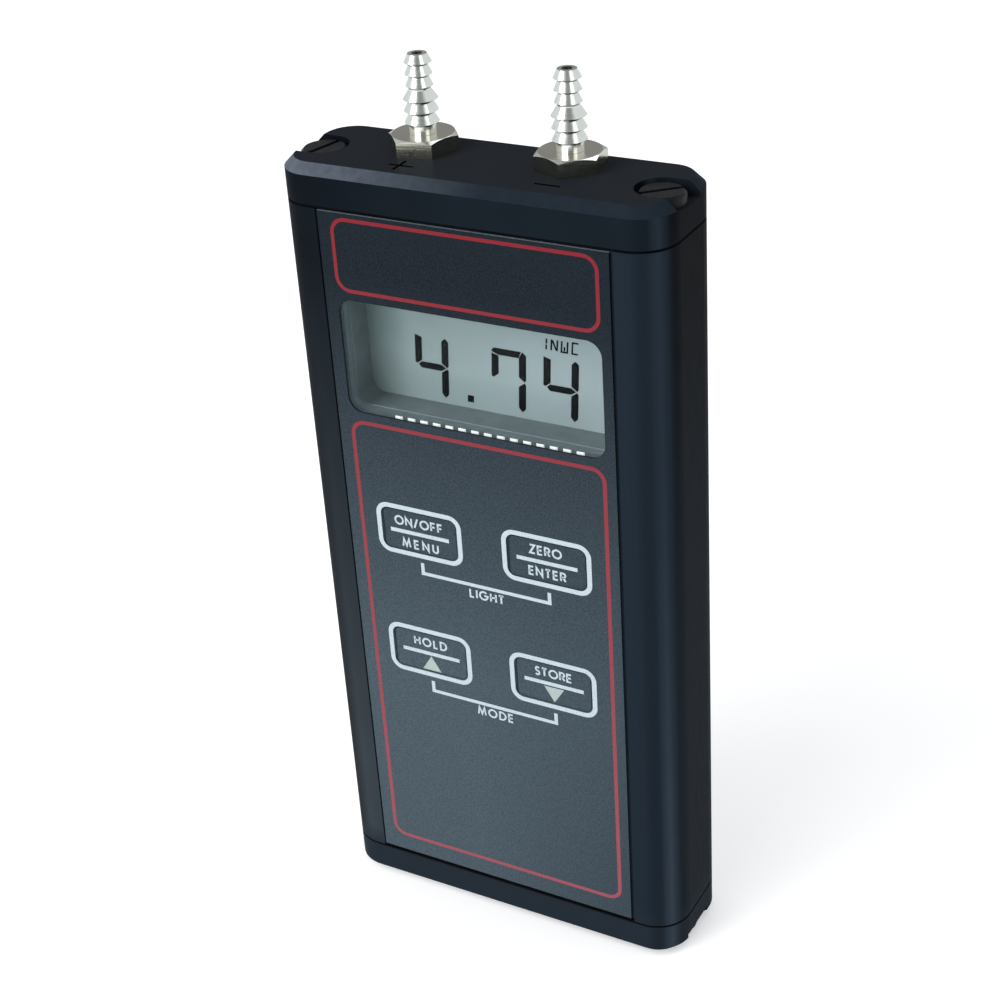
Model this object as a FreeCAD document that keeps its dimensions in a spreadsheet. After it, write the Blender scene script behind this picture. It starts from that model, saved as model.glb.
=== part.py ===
import FreeCAD, Part
import math
import os
import types

import Sketcher
from FreeCAD import Placement, Rotation, Vector

# Handheld digital manometer, in millimetres.
# The case stands on its bottom cap: +Z is up, the display faces -Y, and the
# origin is the middle of the bottom face. Left and right are the viewer's.

# Driving sizes, each set once. Heights are measured up from the bottom face.
SIZES = {
    # Case
    "case_width": 75.0,
    "case_height": 156.2,
    "corner_radius": 7.0,
    "side_wall": 2.0,
    "back_wall": 2.0,
    "front_wall": 2.8,
    "cavity_radius": 4.5,
    "cap_height": 7.2,
    "edge_chamfer": 1.8,
    "gasket_thickness": 0.5,
    "gasket_inset": 0.25,
    "spigot_height": 1.5,
    "spigot_side_gap": 0.9,
    "spigot_wall": 1.8,
    "rail_overlap": 1.4,
    "rail_thickness": 1.2,
    # End cap screws
    "screw_inset": 4.8,
    "screw_forward": 1.0,
    "screw_shank_radius": 1.95,
    "screw_head_radius": 4.15,
    "screw_head_height": 2.25,
    "screw_head_bevel": 0.5,
    "screw_slot_width": 1.0,
    "screw_slot_depth": 0.9,
    "screw_bite": 9.0,
    "screw_pocket_width": 9.2,
    "screw_pocket_depth": 2.7,
    "screw_port_wall": 1.3,
    "screw_port_gap": 1.8,
    # Front film
    "channel_inset": 8.8,
    "channel_depth": 0.7,
    "film_side_gap": 0.5,
    "film_left_shift": 0.3,
    "film_thickness": 0.5,
    "film_end_margin": 0.3,
    "window_border": 2.2,
    "window_height": 22.3,
    "window_below_top": 35.5,
    "window_radius": 3.0,
    "lens_border": 1.8,
    "lens_thickness": 1.6,
    # Keys
    "key_side_margin": 6.85,
    "upper_key_below_top": 69.9,
    "lower_key_below_top": 96.6,
    "key_width": 16.1,
    "key_height": 8.7,
    "key_radius": 1.6,
    "key_recess": 0.2,
    "key_opening_margin": 0.3,
    # Circuit board
    "board_thickness": 1.6,
    "board_top_margin": 2.5,
    # Display
    "well_side_room": 0.7,
    "well_extra_height": 0.8,
    "well_lift": 0.1,
    "well_wall": 0.45,
    "well_radius": 2.4,
    "glass_depth": 9.7,
    "glass_below_well": 3.45,
    "glass_above_well": 3.3,
    "glass_plate": 1.4,
    "glass_ledge": 3.4,
    "tray_wall": 1.0,
    "tray_floor": 1.0,
    "tray_peg_radius": 1.0,
    "tray_side_gap": 0.6,
    "tray_peg_from_edge": 1.7,
    "tray_peg_from_side": 2.4,
    "backlight_thickness": 2.4,
    "backlight_margin": 0.6,
    "pin_count": 15,
    "pin_pitch": 2.64,
    "pin_row_shift": 1.4,
    "pin_row_drop": 0.8,
    "pin_notch_margin": 0.5,
    "pin_width": 0.6,
    "pin_thickness": 0.4,
    "pin_pad_width": 1.5,
    "pin_pad_height": 0.75,
    "pin_pad_thickness": 0.35,
    # Key switches
    "switch_size": 6.2,
    "switch_height": 1.2,
    "switch_floor": 0.2,
    "switch_cover": 0.25,
    "switch_travel": 0.25,
    "plunger_radius": 1.7,
    "plunger_flange_radius": 2.25,
    "plunger_flange_height": 0.4,
    # Pressure fittings
    "port_spread": 28.6,
    "port_back": 2.9,
    "hexagon_across_flats": 11.11,
    "hexagon_height": 3.0,
    "hexagon_rim_drop": 0.75,
    "hexagon_bevel_reach": 7.0,
    "port_bore_radius": 0.95,
    "port_thread_radius": 2.4,
    "port_spigot_radius": 1.6,
    "port_spigot_length": 2.7,
    "port_stem_radius": 2.38,
    "port_waist_radius": 1.95,
    "port_neck_radius": 1.5,
    "large_barb_radius": 3.08,
    "small_barb_radius": 2.44,
    "barb_shoulder": 1.7,
    "lowest_barb_edge": 5.0,
    "lowest_small_barb_edge": 11.4,
    "barb_pitch": 2.05,
    "port_tip_radius": 1.72,
    "port_tip_height": 16.95,
    "port_seal_radius": 4.1,
    "port_seal_thickness": 1.0,
    # Sensor and its tubes
    "sensor_width": 22.0,
    "sensor_height": 16.0,
    "sensor_below_tray": 17.3,
    "sensor_port_wall": 0.7,
    "sensor_lid": 1.2,
    "sensor_port_spread": 12.0,
    "sensor_port_radius": 1.6,
    "sensor_port_bore": 0.8,
    "sensor_port_length": 4.4,
    "tube_radius": 2.35,
    "tube_bore_radius": 1.65,
    "tube_margin": 0.4,
    "tube_bend_room": 2.2,
    "tube_sidestep": 0.9,
    # Battery
    "battery_length": 46.4,
    "battery_height": 26.5,
    "battery_thickness": 17.5,
    "battery_edge_radius": 2.4,
    "battery_play": 0.55,
    "battery_stud_length": 2.1,
    "battery_stud_spread": 12.9,
    "battery_small_stud": 2.9,
    "battery_large_stud": 3.9,
    "snap_thickness": 3.6,
    "snap_length": 25.0,
    "snap_width": 12.4,
    "lead_radius": 0.7,
    "lead_spread": 5.0,
    "lead_reach": 3.4,
    "lead_rise": 7.0,
    "lead_stand_off": 4.0,
    "foam_inset": 3.2,
    "foam_height": 6.2,
    # Board components
    "chip_size": 14.0,
    "chip_thickness": 1.6,
    "chip_inset": 4.0,
    "amplifier_width": 10.0,
    "amplifier_height": 6.2,
    "amplifier_thickness": 1.7,
    "crystal_width": 11.0,
    "crystal_height": 4.6,
    "crystal_thickness": 3.6,
    "capacitor_radius": 3.1,
    "capacitor_height": 7.0,
    "capacitor_pitch": 7.4,
    "component_edge": 2.0,
    # Fits
    "fit_clearance": 0.1,
    "running_clearance": 0.05,
}

doc = FreeCAD.newDocument("manometer")
sheet = doc.addObject("Spreadsheet::Sheet", "Sizes")
for row, (alias, number) in enumerate(SIZES.items(), start=1):
    sheet.set(f"A{row}", alias)
    sheet.set(f"B{row}", str(number))
    sheet.setAlias(f"B{row}", alias)
doc.recompute()


class Length:
    """A number together with the expression that gives it from the sheet."""

    def __init__(self, number, text):
        self.number = float(number)
        self.text = text

    def __add__(self, other):
        other = as_length(other)
        return Length(self.number + other.number, f"({self.text} + {other.text})")

    def __sub__(self, other):
        other = as_length(other)
        return Length(self.number - other.number, f"({self.text} - {other.text})")

    def __mul__(self, other):
        other = as_length(other)
        return Length(self.number * other.number, f"({self.text} * {other.text})")

    def __truediv__(self, other):
        other = as_length(other)
        return Length(self.number / other.number, f"({self.text} / {other.text})")

    def __neg__(self):
        return Length(-self.number, f"(-1 * {self.text})")

    def __rmul__(self, other):
        return self * other


def as_length(value):
    if isinstance(value, Length):
        return value
    return Length(value, repr(float(value)))


size = types.SimpleNamespace(
    **{alias: Length(sheet.get(alias), f"Sizes.{alias}") for alias in SIZES}
)
ZERO = as_length(0)

# Places that several pieces share. The battery sets the depth of the case, and
# what shows on the front keeps its distance from the top.
cavity_depth = size.battery_thickness + size.battery_play * 2
case_depth = cavity_depth + size.front_wall + size.back_wall
front = -(case_depth / 2)
back = case_depth / 2
body_low = size.cap_height + size.gasket_thickness
body_high = size.case_height - body_low
body_length = body_high - body_low
middle_height = size.case_height / 2
cavity_front = front + size.front_wall
cavity_back = back - size.back_wall
cavity_width = size.case_width - size.side_wall * 2
cavity_centre = (cavity_front + cavity_back) / 2
screw_y = -size.screw_forward
screw_spread = size.case_width - size.screw_inset * 2
screw_port_radius = size.screw_shank_radius + size.running_clearance + size.screw_port_wall
inner_width = screw_spread - screw_port_radius * 2

channel_width = size.case_width - size.channel_inset * 2
film_width = channel_width - size.film_side_gap * 2
film_back = front + size.channel_depth
film_front = film_back - size.film_thickness
window_width = film_width - size.window_border * 2
window_centre = size.case_height - size.window_below_top
key_spread = film_width - size.key_side_margin * 2 - size.key_width

battery_low = body_low + size.spigot_height + size.fit_clearance
battery_high = battery_low + size.battery_height
board_width = cavity_width - size.cavity_radius * 2
board_low = battery_high + size.foam_height
board_high = body_high - size.board_top_margin
board_front = cavity_front + size.fit_clearance
board_back = board_front + size.board_thickness

tray_width = inner_width - size.tray_side_gap * 2
glass_width = tray_width - size.tray_wall * 2 - size.fit_clearance * 4
glass_front = film_front + size.glass_depth
glass_back = glass_front + size.glass_plate * 2
well_width = window_width + size.well_side_room * 2
well_centre = window_centre + size.well_lift
well_height = size.window_height + size.well_extra_height
well_low = well_centre - well_height / 2
glass_low = well_low - size.glass_below_well
glass_high = well_centre + well_height / 2 + size.glass_above_well
tray_low = glass_low - size.tray_wall / 2
tray_high = glass_high + size.tray_wall + size.fit_clearance * 2
tray_front = glass_front - size.tray_floor
tray_back = glass_back + size.backlight_thickness
peg_spread = tray_width - size.tray_peg_from_side * 2
peg_heights = (tray_high - size.tray_peg_from_edge, tray_low + size.tray_peg_from_edge)
pin_row_height = well_low - size.pin_row_drop

port_thread_length = size.cap_height + size.gasket_thickness / 2
port_base = size.port_spigot_length + port_thread_length
tube_y = tray_back + size.tube_radius + size.tube_margin
sensor_back = tube_y + size.sensor_port_radius + size.sensor_port_wall
sensor_high = tray_low - size.sensor_below_tray
sensor_low = sensor_high - size.sensor_height
sensor_port_top = sensor_high + size.sensor_port_length
pieces = []

UPPER_KEYS = size.case_height - size.upper_key_below_top
LOWER_KEYS = size.case_height - size.lower_key_below_top
KEYS = {
    "upper_left": (-1, UPPER_KEYS),
    "upper_right": (1, UPPER_KEYS),
    "lower_left": (-1, LOWER_KEYS),
    "lower_right": (1, LOWER_KEYS),
}


def set_size(thing, name, length):
    thing.setExpression(name, as_length(length).text)


def place(thing, x, y, z):
    """Bind an object's place to the sheet."""
    for axis, length in zip("xyz", (x, y, z)):
        set_size(thing, f"Placement.Base.{axis}", length)


def keep(thing, name):
    """Make an object one of the finished pieces, under its own name."""
    thing.Label = name
    pieces.append(thing)
    return thing


# Sketches

def sketch_on(body, role, x=ZERO, y=ZERO, away=ZERO, turn=0.0):
    """A sketch on one of the body's own planes, moved to a bound place."""
    sketch = body.newObject("Sketcher::SketchObject", f"{body.Name}_sketch")
    plane = next(item for item in body.Origin.OriginFeatures if item.Role == role)
    sketch.AttachmentSupport = [(plane, "")]
    sketch.MapMode = "FlatFace"
    shift = [as_length(item) for item in (x, y, away)]
    sketch.AttachmentOffset = Placement(
        Vector(*(item.number for item in shift)), Rotation(Vector(0, 0, 1), turn)
    )
    for axis, length in zip("xyz", shift):
        set_size(sketch, f"AttachmentOffset.Base.{axis}", length)
    return sketch


def drive(sketch, name, length, *constraint):
    """Add a dimension to a sketch and bind it to the sheet."""
    kind, *where = constraint
    index = sketch.addConstraint(Sketcher.Constraint(kind, *where, length.number))
    sketch.renameConstraint(index, name)
    set_size(sketch, f"Constraints.{name}", length)


def outline(sketch, corners):
    """A closed run of lines through the corners; gives the first line's index."""
    count = len(corners)
    first = sketch.GeometryCount
    for index in range(count):
        ends = (corners[index], corners[(index + 1) % count])
        sketch.addGeometry(Part.LineSegment(*(Vector(*end, 0) for end in ends)))
    for index in range(count):
        following = first + (index + 1) % count
        sketch.addConstraint(
            Sketcher.Constraint("Coincident", first + index, 2, following, 1)
        )
    return first


def rectangle(sketch, width, height):
    """A rectangle about the sketch's origin."""
    half_x = width.number / 2
    half_y = height.number / 2
    first = outline(
        sketch,
        [(-half_x, -half_y), (half_x, -half_y), (half_x, half_y), (-half_x, half_y)],
    )
    for step, kind in enumerate(("Horizontal", "Vertical") * 2):
        sketch.addConstraint(Sketcher.Constraint(kind, first + step))
    sketch.addConstraint(
        Sketcher.Constraint("Symmetric", first, 1, first + 1, 2, -1, 1)
    )
    drive(sketch, "width", width, "Distance", first)
    drive(sketch, "height", height, "Distance", first + 1)


def rounded_rectangle(sketch, width, height, radius):
    """A rectangle with round corners about the sketch's origin."""
    half_x = width.number / 2
    half_y = height.number / 2
    corner = radius.number
    flat_x = half_x - corner
    flat_y = half_y - corner
    sides = [
        ((-flat_x, -half_y), (flat_x, -half_y)),
        ((half_x, -flat_y), (half_x, flat_y)),
        ((flat_x, half_y), (-flat_x, half_y)),
        ((-half_x, flat_y), (-half_x, -flat_y)),
    ]
    centres = [(flat_x, -flat_y), (flat_x, flat_y), (-flat_x, flat_y), (-flat_x, -flat_y)]
    for start, end in sides:
        sketch.addGeometry(Part.LineSegment(Vector(*start, 0), Vector(*end, 0)))
    for index, centre in enumerate(centres):
        circle = Part.Circle(Vector(*centre, 0), Vector(0, 0, 1), corner)
        start = math.radians(-90 + 90 * index)
        sketch.addGeometry(Part.ArcOfCircle(circle, start, start + math.pi / 2))
    for index in range(4):
        arc = 4 + index
        sketch.addConstraint(Sketcher.Constraint("Tangent", index, 2, arc, 1))
        sketch.addConstraint(
            Sketcher.Constraint("Tangent", arc, 2, (index + 1) % 4, 1)
        )
    for index, kind in enumerate(("Horizontal", "Vertical") * 2):
        sketch.addConstraint(Sketcher.Constraint(kind, index))
    for arc in (5, 6, 7):
        sketch.addConstraint(Sketcher.Constraint("Equal", 4, arc))
    sketch.addConstraint(Sketcher.Constraint("Symmetric", 4, 3, 6, 3, -1, 1))
    drive(sketch, "corner", radius, "Radius", 4)
    drive(sketch, "width", width, "DistanceX", 3, 1, 1, 1)
    drive(sketch, "height", height, "DistanceY", 0, 1, 2, 1)


def circle(sketch, radius):
    """A circle about the sketch's origin."""
    sketch.addGeometry(Part.Circle(Vector(0, 0, 0), Vector(0, 0, 1), radius.number))
    sketch.addConstraint(Sketcher.Constraint("Coincident", 0, 3, -1, 1))
    drive(sketch, "radius", radius, "Radius", 0)


def circle_pair(sketch, radius, spread):
    """Two equal circles, left and right of the sketch's origin."""
    half = spread.number / 2
    for x in (-half, half):
        sketch.addGeometry(Part.Circle(Vector(x, 0, 0), Vector(0, 0, 1), radius.number))
    sketch.addConstraint(Sketcher.Constraint("Equal", 0, 1))
    sketch.addConstraint(Sketcher.Constraint("Symmetric", 0, 3, 1, 3, -1, 1))
    sketch.addConstraint(Sketcher.Constraint("Horizontal", 0, 3, 1, 3))
    drive(sketch, "radius", radius, "Radius", 0)
    drive(sketch, "spread", spread, "DistanceX", 0, 3, 1, 3)


def hexagon(sketch, across_flats):
    """A regular hexagon about the sketch's origin, with a flat on each side in X."""
    side = across_flats.number / math.sqrt(3)
    corners = [
        (side * math.cos(math.radians(angle)), side * math.sin(math.radians(angle)))
        for angle in range(-30, 330, 60)
    ]
    first = outline(sketch, corners)
    ring = sketch.addGeometry(Part.Circle(Vector(0, 0, 0), Vector(0, 0, 1), side), True)
    sketch.addConstraint(Sketcher.Constraint("Coincident", ring, 3, -1, 1))
    for step in range(6):
        sketch.addConstraint(Sketcher.Constraint("PointOnObject", first + step, 1, ring))
    for step in range(1, 6):
        sketch.addConstraint(Sketcher.Constraint("Equal", first, first + step))
    sketch.addConstraint(Sketcher.Constraint("Vertical", first))
    drive(sketch, "flats", across_flats, "DistanceX", first + 3, 1, first, 1)


def turned_profile(sketch, points):
    """A closed half section: each point is a radius and a height, both above 0."""
    first = outline(sketch, [(radius.number, height.number) for radius, height in points])
    for step, (radius, height) in enumerate(points):
        drive(sketch, f"radius_{step}", radius, "DistanceX", -1, 1, first + step, 1)
        drive(sketch, f"height_{step}", height, "DistanceY", -1, 1, first + step, 1)


# Features

def new_body(name):
    body = doc.addObject("PartDesign::Body", name)
    return keep(body, name)


def pad(body, sketch, length, other_way=False):
    feature = body.newObject("PartDesign::Pad", f"{body.Name}_pad")
    feature.Profile = sketch
    set_size(feature, "Length", length)
    feature.Reversed = other_way
    doc.recompute()
    return feature


def must_cut(body, feature, volume):
    """Stop if a cut has taken nothing away."""
    doc.recompute()
    if body.Shape.Volume > volume - 1e-4:
        raise ValueError(f"{body.Label}: {feature.Name} cuts nothing")


def pocket(body, sketch, depth=None, other_way=False):
    """Cut along the sketch's back side, or right through both ways."""
    volume = body.Shape.Volume
    feature = body.newObject("PartDesign::Pocket", f"{body.Name}_pocket")
    feature.Profile = sketch
    if depth is None:
        feature.Type = "ThroughAll"
        feature.Midplane = True
    else:
        set_size(feature, "Length", depth)
        feature.Reversed = other_way
    must_cut(body, feature, volume)
    return feature


def revolve(body, sketch, cut=False):
    """Turn a half section about the sketch's vertical axis."""
    kind = "Groove" if cut else "Revolution"
    doc.recompute()
    volume = body.Shape.Volume if cut else 0.0
    feature = body.newObject(f"PartDesign::{kind}", f"{body.Name}_{kind.lower()}")
    feature.Profile = sketch
    feature.ReferenceAxis = (sketch, ["V_Axis"])
    feature.Angle = 360
    if cut:
        must_cut(body, feature, volume)
    doc.recompute()
    return feature


def face_names(shape, wanted):
    return [f"Face{index}" for index, face in enumerate(shape.Faces, start=1) if wanted(face)]


def chamfer_top(body, base, amount):
    """Chamfer the rim of the flat face at the top of a feature."""
    shape = base.Shape
    top = shape.BoundBox.ZMax
    feature = body.newObject("PartDesign::Chamfer", f"{body.Name}_chamfer")
    feature.Base = (base, face_names(shape, lambda face: face.BoundBox.ZMin > top - 1e-4))
    set_size(feature, "Size", amount)
    doc.recompute()


def block(name, low, high):
    """A box between two corners."""
    box = doc.addObject("Part::Box", name)
    for prop, start, end in zip(("Length", "Width", "Height"), low, high):
        set_size(box, prop, as_length(end) - as_length(start))
    place(box, *low)
    return box


def rod(name, radius, length, x, y, z, along):
    """A cylinder from a point, along +Z or +Y."""
    cylinder = doc.addObject("Part::Cylinder", name)
    turns = {"z": Rotation(), "y": Rotation(Vector(1, 0, 0), -90)}
    set_size(cylinder, "Radius", radius)
    set_size(cylinder, "Height", length)
    cylinder.Placement = Placement(Vector(0, 0, 0), turns[along])
    place(cylinder, x, y, z)
    return cylinder


def joined(name, parts):
    fuse = doc.addObject("Part::MultiFuse", name)
    fuse.Shapes = parts
    return fuse


def cut(name, base, tools):
    tool = tools[0] if len(tools) == 1 else joined(f"{name}_tools", tools)
    result = doc.addObject("Part::Cut", name)
    result.Base = base
    result.Tool = tool
    return result


# Case: one aluminium extrusion, cut to length and milled at the front

def case_body():
    body = new_body("case_body")
    section = sketch_on(body, "XY_Plane", away=body_low)
    rounded_rectangle(section, size.case_width, case_depth, size.corner_radius)
    pad(body, section, body_length)

    cavity = sketch_on(body, "XY_Plane", y=cavity_centre, away=body_low)
    rounded_rectangle(cavity, cavity_width, cavity_depth, size.cavity_radius)
    pocket(body, cavity)

    # Screw ports run up inside both side walls, open towards the middle
    ports = sketch_on(body, "XY_Plane", y=screw_y, away=body_low)
    circle_pair(ports, screw_port_radius, screw_spread)
    pad(body, ports, body_length)

    # Rails that hold the circuit board against the front wall
    rail_reach = board_width / 2 - size.rail_overlap
    rail_length = size.case_width / 2 - size.side_wall / 2 - rail_reach
    rail_centre = rail_reach + rail_length / 2
    rail_y = board_back + size.fit_clearance + size.rail_thickness / 2
    for side in (-1, 1):
        rail = sketch_on(body, "XY_Plane", x=rail_centre * side, y=rail_y, away=body_low)
        rectangle(rail, rail_length, size.rail_thickness)
        pad(body, rail, body_length)

    bores = sketch_on(body, "XY_Plane", y=screw_y, away=body_low)
    circle_pair(bores, size.screw_shank_radius + size.running_clearance, screw_spread)
    pocket(body, bores)
    gap_length = screw_port_radius + size.fit_clearance
    for side in (-1, 1):
        gap_x = (screw_spread / 2 - gap_length / 2) * side
        gap = sketch_on(body, "XY_Plane", x=gap_x, y=screw_y, away=body_low)
        rectangle(gap, gap_length, size.screw_port_gap)
        pocket(body, gap)

    # Shallow channel for the film, over the full length of the front
    channel = sketch_on(body, "XZ_Plane", y=middle_height, away=-front)
    rectangle(channel, channel_width, body_length)
    pocket(body, channel, size.channel_depth)

    window = sketch_on(body, "XZ_Plane", y=window_centre, away=-front)
    rounded_rectangle(
        window,
        window_width + size.lens_border * 2,
        size.window_height + size.lens_border * 2,
        size.window_radius + size.lens_border / 2,
    )
    pocket(body, window, size.front_wall + size.fit_clearance)
    for side, centre in KEYS.values():
        opening = sketch_on(body, "XZ_Plane", x=key_spread / 2 * side, y=centre, away=-front)
        rounded_rectangle(
            opening,
            size.key_width + size.key_opening_margin * 2,
            size.key_height + size.key_opening_margin * 2,
            size.key_radius + size.key_opening_margin,
        )
        pocket(body, opening, size.front_wall + size.fit_clearance)


# End caps: milled plates with a bevelled rim and a locating rim inside

def end_cap(name, face_height, up, port_holes):
    """The cap's inner face is its local origin plane, and local +Z points out."""
    body = new_body(name)
    across = 1 if up else -1
    local_screw_y = screw_y * across

    plate = sketch_on(body, "XY_Plane")
    rounded_rectangle(plate, size.case_width, case_depth, size.corner_radius)
    slab = pad(body, plate, size.cap_height)
    chamfer_top(body, slab, size.edge_chamfer)

    rim_height = size.spigot_height + size.gasket_thickness
    rim_width = inner_width - size.spigot_side_gap * 2
    rim_depth = cavity_depth - size.fit_clearance * 2
    rim_y = cavity_centre * across
    rim = sketch_on(body, "XY_Plane", y=rim_y)
    rounded_rectangle(rim, rim_width, rim_depth, size.spigot_wall)
    pad(body, rim, rim_height, other_way=True)
    hollow = sketch_on(body, "XY_Plane", y=rim_y, away=-rim_height)
    rounded_rectangle(
        hollow,
        rim_width - size.spigot_wall * 2,
        rim_depth - size.spigot_wall * 2,
        size.spigot_wall / 2,
    )
    pocket(body, hollow, rim_height, other_way=True)

    # Screw pockets, milled in from the sides: a round end and a straight way out
    outer = size.case_width / 2 + size.fit_clearance
    run = outer - screw_spread / 2
    for side in (-1, 1):
        end = sketch_on(
            body,
            "XY_Plane",
            x=screw_spread / 2 * side,
            y=local_screw_y,
            away=size.cap_height,
        )
        circle(end, size.screw_pocket_width / 2)
        pocket(body, end, size.screw_pocket_depth)
        way = sketch_on(
            body,
            "XY_Plane",
            x=(screw_spread / 2 + run / 2) * side,
            y=local_screw_y,
            away=size.cap_height,
        )
        rectangle(way, run, size.screw_pocket_width)
        pocket(body, way, size.screw_pocket_depth)
    holes = sketch_on(body, "XY_Plane", y=local_screw_y)
    circle_pair(holes, size.screw_shank_radius + size.fit_clearance, screw_spread)
    pocket(body, holes)

    if port_holes:
        threads = sketch_on(body, "XY_Plane", y=size.port_back)
        circle_pair(threads, size.port_thread_radius + size.running_clearance, size.port_spread)
        pocket(body, threads)
        seats = sketch_on(body, "XY_Plane", y=size.port_back, away=size.cap_height)
        circle_pair(seats, size.port_seal_radius + size.fit_clearance, size.port_spread)
        pocket(body, seats, size.port_seal_thickness)

    body.Placement = Placement(Vector(0, 0, 0), Rotation(Vector(1, 0, 0), 0 if up else 180))
    place(body, ZERO, ZERO, face_height)


def gasket(name, low):
    """A flat seal between the case and a cap, set in a little from the outside."""
    body = new_body(name)
    outer = sketch_on(body, "XY_Plane", away=low)
    rounded_rectangle(
        outer,
        size.case_width - size.gasket_inset * 2,
        case_depth - size.gasket_inset * 2,
        size.corner_radius - size.gasket_inset,
    )
    pad(body, outer, size.gasket_thickness)
    inner = sketch_on(body, "XY_Plane", y=cavity_centre, away=low)
    rounded_rectangle(
        inner,
        inner_width - size.spigot_side_gap * 2 + size.fit_clearance * 2,
        cavity_depth,
        size.spigot_wall + size.fit_clearance,
    )
    pocket(body, inner)
    holes = sketch_on(body, "XY_Plane", y=screw_y, away=low)
    circle_pair(holes, size.screw_shank_radius + size.fit_clearance, screw_spread)
    pocket(body, holes)


def end_screw(name, side, up, slot_turn):
    """A slotted screw; its local origin is under the head, and +Z is its head's side."""
    body = new_body(name)
    shank_length = size.cap_height - size.screw_pocket_depth + size.gasket_thickness + size.screw_bite
    head = sketch_on(body, "XY_Plane")
    circle(head, size.screw_head_radius)
    disc = pad(body, head, size.screw_head_height)
    chamfer_top(body, disc, size.screw_head_bevel)
    shank = sketch_on(body, "XY_Plane")
    circle(shank, size.screw_shank_radius)
    pad(body, shank, shank_length, other_way=True)
    slot = sketch_on(body, "XY_Plane", away=size.screw_head_height, turn=slot_turn)
    rectangle(slot, size.screw_head_radius * 2 + size.fit_clearance, size.screw_slot_width)
    pocket(body, slot, size.screw_slot_depth)

    seat = size.case_height - size.screw_pocket_depth if up else size.screw_pocket_depth
    body.Placement = Placement(Vector(0, 0, 0), Rotation(Vector(1, 0, 0), 0 if up else 180))
    place(body, screw_spread / 2 * side, screw_y, seat)


# Front film: one printed sheet, with a window and four pressed-in key areas

def front_film():
    body = new_body("front_film")
    sheet_x = -size.film_left_shift
    outer = sketch_on(body, "XZ_Plane", x=sheet_x, y=middle_height, away=-film_back)
    rectangle(outer, film_width, body_length - size.film_end_margin * 2)
    pad(body, outer, size.film_thickness)
    window = sketch_on(body, "XZ_Plane", y=window_centre, away=-film_front)
    rounded_rectangle(window, window_width, size.window_height, size.window_radius)
    pocket(body, window, size.film_thickness + size.fit_clearance)
    for side, centre in KEYS.values():
        key = sketch_on(body, "XZ_Plane", x=key_spread / 2 * side, y=centre, away=-film_front)
        rounded_rectangle(key, size.key_width, size.key_height, size.key_radius)
        pocket(body, key, size.key_recess)


def display_window():
    """The clear plate behind the film's window, in the case's cut-out."""
    body = new_body("display_window")
    border = size.lens_border - size.fit_clearance
    plate = sketch_on(body, "XZ_Plane", y=window_centre, away=-film_back)
    rounded_rectangle(
        plate,
        window_width + border * 2,
        size.window_height + border * 2,
        size.window_radius + size.lens_border / 2 - size.fit_clearance,
    )
    pad(body, plate, size.lens_thickness, other_way=True)


# Circuit board and display

def pin_positions():
    first = size.pin_row_shift - size.pin_pitch * (size.pin_count - 1) / 2
    return [first + size.pin_pitch * step for step in range(int(size.pin_count.number))]


def circuit_board():
    body = new_body("circuit_board")
    centre = (board_low + board_high) / 2
    outer = sketch_on(body, "XZ_Plane", y=centre, away=-board_back)
    rectangle(outer, board_width, board_high - board_low)
    pad(body, outer, size.board_thickness)

    opening = sketch_on(body, "XZ_Plane", y=well_centre, away=-board_front)
    rounded_rectangle(
        opening,
        well_width + size.well_wall,
        well_height + size.well_wall,
        size.well_radius + size.well_wall / 2,
    )
    pocket(body, opening, size.board_thickness + size.fit_clearance)
    for height in peg_heights:
        holes = sketch_on(body, "XZ_Plane", y=height, away=-board_front)
        circle_pair(holes, size.tray_peg_radius + size.fit_clearance, peg_spread)
        pocket(body, holes, size.board_thickness + size.fit_clearance)

    # One hole, repeated along the row of display pins
    first = pin_positions()[0]
    hole = sketch_on(body, "XZ_Plane", x=first, y=pin_row_height, away=-board_front)
    rectangle(
        hole, size.pin_width + size.fit_clearance * 2, size.pin_thickness + size.fit_clearance * 2
    )
    start = pocket(body, hole, size.board_thickness + size.fit_clearance)
    row = body.newObject("PartDesign::LinearPattern", "pin_holes")
    row.Originals = [start]
    row.Direction = (hole, ["H_Axis"])
    set_size(row, "Length", size.pin_pitch * (size.pin_count - 1))
    set_size(row, "Occurrences", size.pin_count)
    volume = body.Shape.Volume
    body.Tip = row
    must_cut(body, row, volume)


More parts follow.
